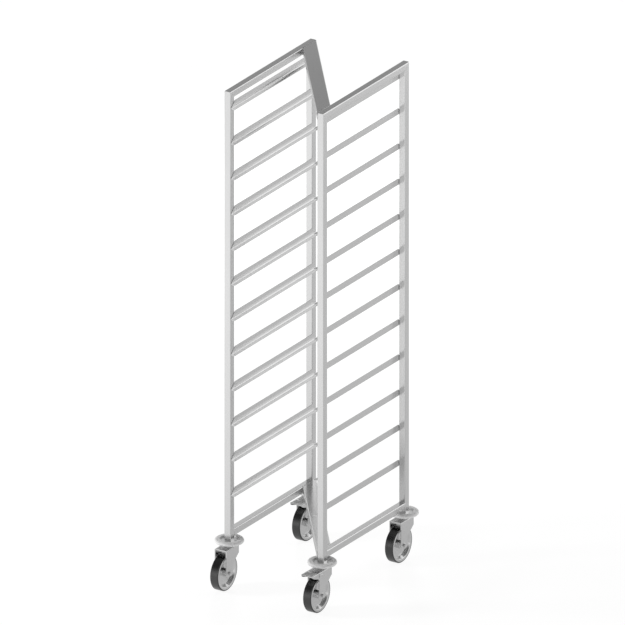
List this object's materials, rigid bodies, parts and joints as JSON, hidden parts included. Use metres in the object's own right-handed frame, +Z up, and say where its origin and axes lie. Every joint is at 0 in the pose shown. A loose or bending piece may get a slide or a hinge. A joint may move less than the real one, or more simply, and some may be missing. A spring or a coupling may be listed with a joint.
{
  "type": "gastronorm tray trolley",
  "caption": "Nesting tray trolley of square stainless tube: side frames with tray runners joined by diagonals in a Z, on swivel casters with round bumpers and foot brakes.",
  "frame": {"origin": "on the floor, under the middle of the bounding box; the wheels trail to the front, so the tube frame's own middle lies 24 mm behind it", "axes": "+X to the right along the width, +Y to the rear along the depth, +Z up; millimetres in the source, metres in the record"},
  "size_m": [0.458, 0.6564, 1.762],
  "materials": {
    "frame_tube": "satin stainless steel, welded and polished",
    "runner_sheet": "satin stainless steel sheet",
    "caster_steel": "pressed stainless steel, bright",
    "hardware_steel": "bright plated steel",
    "bumper_plastic": "light grey, non-marking, smooth with a soft sheen",
    "wheel_metal": "cast and turned, bright",
    "tyre_rubber": "dark grey rubber, smooth tread"
  },
  "bodies": {
    "frame": {"post_front_left": "frame_tube", "post_front_right": "frame_tube", "post_rear_left": "frame_tube", "post_rear_right": "frame_tube", "top_rail_left": "frame_tube", "top_rail_right": "frame_tube", "bottom_rail_left": "frame_tube", "bottom_rail_right": "frame_tube", "top_diagonal": "frame_tube", "bottom_diagonal": "frame_tube", "runner_left_01": "runner_sheet", "runner_left_02": "runner_sheet", "runner_left_03": "runner_sheet", "runner_left_04": "runner_sheet", "runner_left_05": "runner_sheet", "runner_left_06": "runner_sheet", "runner_left_07": "runner_sheet", "runner_left_08": "runner_sheet", "runner_left_09": "runner_sheet", "runner_left_10": "runner_sheet", "runner_left_11": "runner_sheet", "runner_left_12": "runner_sheet", "runner_right_01": "runner_sheet", "runner_right_02": "runner_sheet", "runner_right_03": "runner_sheet", "runner_right_04": "runner_sheet", "runner_right_05": "runner_sheet", "runner_right_06": "runner_sheet", "runner_right_07": "runner_sheet", "runner_right_08": "runner_sheet", "runner_right_09": "runner_sheet", "runner_right_10": "runner_sheet", "runner_right_11": "runner_sheet", "runner_right_12": "runner_sheet", "bumper_front_left": "bumper_plastic", "bumper_front_right": "bumper_plastic", "bumper_rear_left": "bumper_plastic", "bumper_rear_right": "bumper_plastic", "post_plugs": "caster_steel", "swivel_heads": "bumper_plastic", "swivel_bearings": "hardware_steel", "swivel_bolts": "hardware_steel"},
    "caster_front_left": {"fork_front_left": "caster_steel", "axle_set_front_left": "hardware_steel"},
    "wheel_front_left": {"wheel_core_front_left": "wheel_metal", "tyre_front_left": "tyre_rubber"},
    "caster_front_right": {"fork_front_right": "caster_steel", "axle_set_front_right": "hardware_steel"},
    "wheel_front_right": {"wheel_core_front_right": "wheel_metal", "tyre_front_right": "tyre_rubber"},
    "brake_front_right": {"brake_pedal_front_right": "caster_steel"},
    "caster_rear_left": {"fork_rear_left": "caster_steel", "axle_set_rear_left": "hardware_steel"},
    "wheel_rear_left": {"wheel_core_rear_left": "wheel_metal", "tyre_rear_left": "tyre_rubber"},
    "brake_rear_left": {"brake_pedal_rear_left": "caster_steel"},
    "caster_rear_right": {"fork_rear_right": "caster_steel", "axle_set_rear_right": "hardware_steel"},
    "wheel_rear_right": {"wheel_core_rear_right": "wheel_metal", "tyre_rear_right": "tyre_rubber"}
  },
  "joints": [
    {"name": "swivel_front_left", "type": "hinge", "parent": "frame", "child": "caster_front_left", "pos_m": [-0.18, -0.23075, 0.147], "axis": [0, 0, 1], "continuous": true},
    {"name": "roll_front_left", "type": "hinge", "parent": "caster_front_left", "child": "wheel_front_left", "pos_m": [-0.18, -0.26575, 0.0625], "axis": [1, 0, 0], "continuous": true},
    {"name": "swivel_front_right", "type": "hinge", "parent": "frame", "child": "caster_front_right", "pos_m": [0.18, -0.23075, 0.147], "axis": [0, 0, 1], "continuous": true},
    {"name": "roll_front_right", "type": "hinge", "parent": "caster_front_right", "child": "wheel_front_right", "pos_m": [0.18, -0.26575, 0.0625], "axis": [1, 0, 0], "continuous": true},
    {"name": "brake_press_front_right", "type": "hinge", "parent": "caster_front_right", "child": "brake_front_right", "pos_m": [0.18, -0.27025, 0.134], "axis": [1, 0, 0], "range_deg": [0, 13]},
    {"name": "swivel_rear_left", "type": "hinge", "parent": "frame", "child": "caster_rear_left", "pos_m": [-0.18, 0.27925, 0.147], "axis": [0, 0, 1], "continuous": true},
    {"name": "roll_rear_left", "type": "hinge", "parent": "caster_rear_left", "child": "wheel_rear_left", "pos_m": [-0.18, 0.24425, 0.0625], "axis": [1, 0, 0], "continuous": true},
    {"name": "brake_press_rear_left", "type": "hinge", "parent": "caster_rear_left", "child": "brake_rear_left", "pos_m": [-0.18, 0.23975, 0.134], "axis": [1, 0, 0], "range_deg": [0, 13]},
    {"name": "swivel_rear_right", "type": "hinge", "parent": "frame", "child": "caster_rear_right", "pos_m": [0.18, 0.27925, 0.147], "axis": [0, 0, 1], "continuous": true},
    {"name": "roll_rear_right", "type": "hinge", "parent": "caster_rear_right", "child": "wheel_rear_right", "pos_m": [0.18, 0.24425, 0.0625], "axis": [1, 0, 0], "continuous": true}
  ]
}
